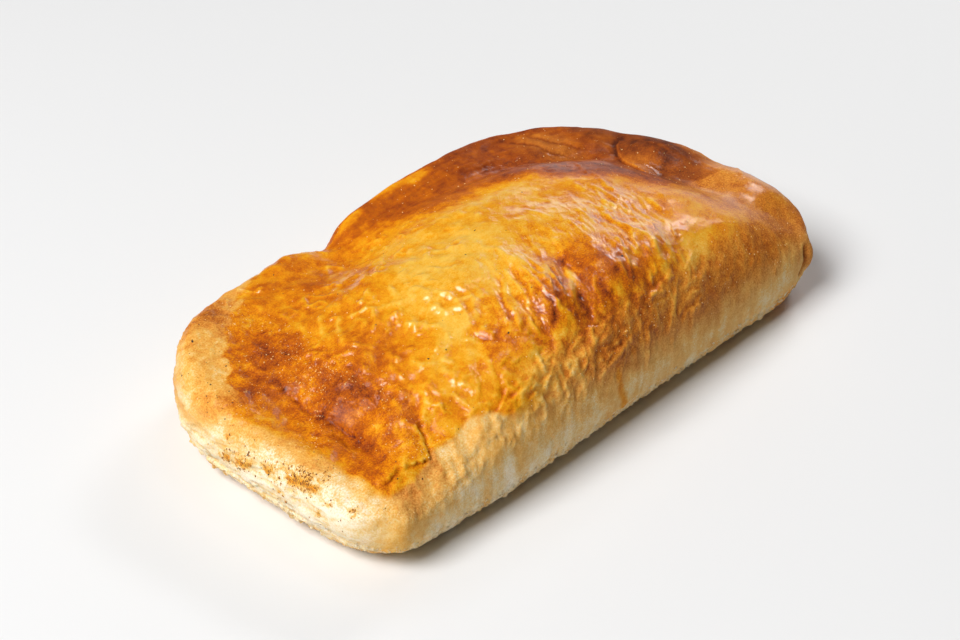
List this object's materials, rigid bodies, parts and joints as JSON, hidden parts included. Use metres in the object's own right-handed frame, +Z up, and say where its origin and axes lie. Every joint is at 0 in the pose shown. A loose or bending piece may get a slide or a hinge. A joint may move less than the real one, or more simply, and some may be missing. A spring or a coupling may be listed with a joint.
{
  "type": "bridie",
  "caption": "Baked puff pastry bridie: a folded turnover with a filled hump, a round folded side, thick sealed borders and a raised rim behind a groove, browned and glazed on top",
  "frame": {"origin": "Centre of the bounding box at its bottom, on the tray under the middle of the pastry", "axes": "+X from the near sealed end to the far one, along the length; +Y from the folded side to the long sealed side; +Z up"},
  "size_m": [0.159, 0.086, 0.0385],
  "materials": {
    "crust": "baked puff pastry, glossy egg wash on top and matt pale dough at the sides"
  },
  "bodies": {
    "root": {"pastry": "crust"}
  },
  "joints": []
}
